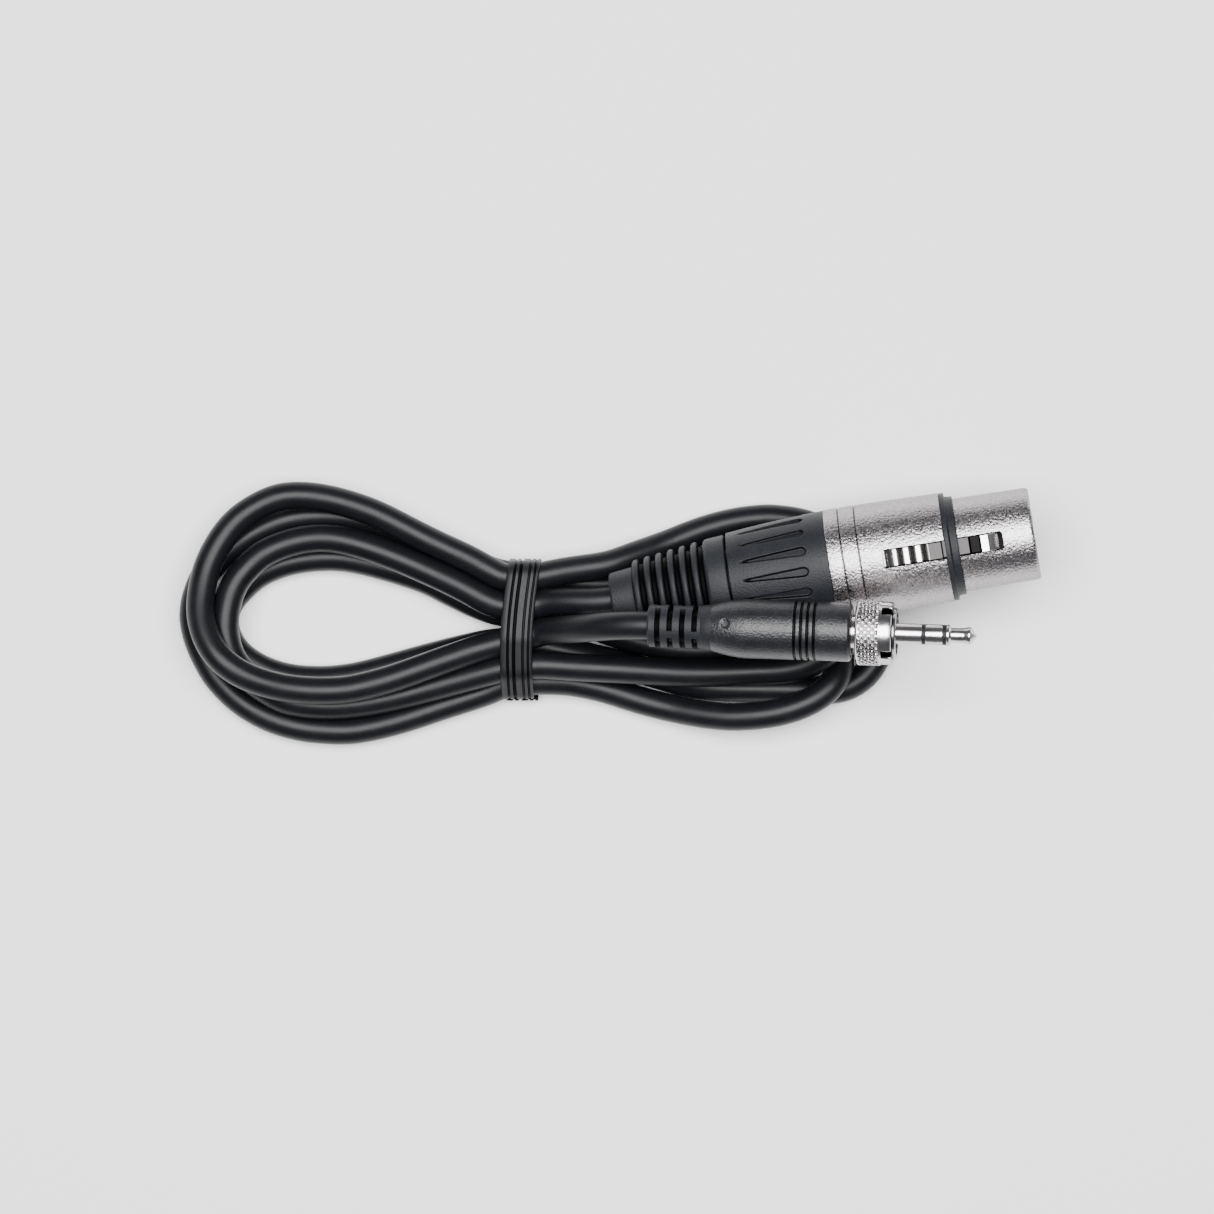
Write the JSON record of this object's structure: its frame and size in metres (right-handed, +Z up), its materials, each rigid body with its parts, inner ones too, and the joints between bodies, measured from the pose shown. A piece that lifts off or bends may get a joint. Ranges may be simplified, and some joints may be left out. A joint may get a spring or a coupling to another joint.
{
  "type": "microphone adapter cable",
  "caption": "Short microphone lead wound into a tied hank, with a latching female XLR connector on one end and a locking 3.5 mm plug on the other.",
  "frame": {"origin": "on the table, below the middle of the whole object's box", "axes": "+X along the hank from its free lobe to the connectors, +Z up from the table"},
  "size_m": [0.1469, 0.045, 0.0323],
  "materials": {
    "cable_jacket": "satin",
    "tie_plastic": "ribbed matte",
    "boot_rubber": "matte",
    "black_plastic": "fine matte",
    "barrel_plastic": "fine matte",
    "white_plastic": "plain",
    "satin_nickel": "satin, pearl blasted",
    "bright_nickel": "bright",
    "spring_steel": "plain",
    "contact_metal": "plated",
    "wire_bare": "bare copper strands",
    "wire_red": "plain",
    "wire_white": "plain"
  },
  "bodies": {
    "lead": {"cable_hank": "cable_jacket", "cable_tie": "tie_plastic", "cable_xlr_tail": "cable_jacket", "cable_plug_tail": "cable_jacket", "cable_end_in_xlr": "cable_jacket", "cable_end_in_plug": "cable_jacket", "xlr_boot": "boot_rubber", "xlr_bushing": "black_plastic", "xlr_chuck": "white_plastic", "xlr_shell": "satin_nickel", "xlr_ring": "black_plastic", "xlr_insert": "black_plastic", "xlr_latch_pin": "spring_steel", "xlr_latch_spring": "spring_steel", "xlr_contact_1": "contact_metal", "xlr_contact_2": "contact_metal", "xlr_contact_3": "contact_metal", "xlr_wire_1": "wire_bare", "xlr_wire_2": "wire_red", "xlr_wire_3": "wire_white", "plug_strain_relief": "boot_rubber", "plug_barrel": "barrel_plastic", "plug_sleeve": "bright_nickel", "plug_shield_clamp": "contact_metal", "plug_insulator_rear": "black_plastic", "plug_ring_contact": "bright_nickel", "plug_insulator_front": "black_plastic", "plug_tip_contact": "bright_nickel", "plug_terminal_ring": "contact_metal", "plug_terminal_tip": "contact_metal", "plug_wire_1": "wire_red", "plug_wire_2": "wire_white"},
    "latch": {"xlr_latch": "bright_nickel"},
    "lock_nut": {"plug_lock_nut": "bright_nickel"}
  },
  "joints": [
    {"name": "latch_press", "type": "hinge", "parent": "lead", "child": "latch", "pos_m": [0.0448, 0.00887, 0.02137], "axis": [-0.16, 0.9862, 0.0435], "range_deg": [0, 5], "stiffness_Nm_per_rad": 0.4, "springref_deg": -2.86, "deforming": ["xlr_latch_spring"]},
    {"name": "lock_nut_spin", "type": "hinge", "parent": "lead", "child": "lock_nut", "pos_m": [0.04446, -0.00338, 0.02661], "axis": [0.991, -0.0311, 0.1305], "continuous": true}
  ]
}
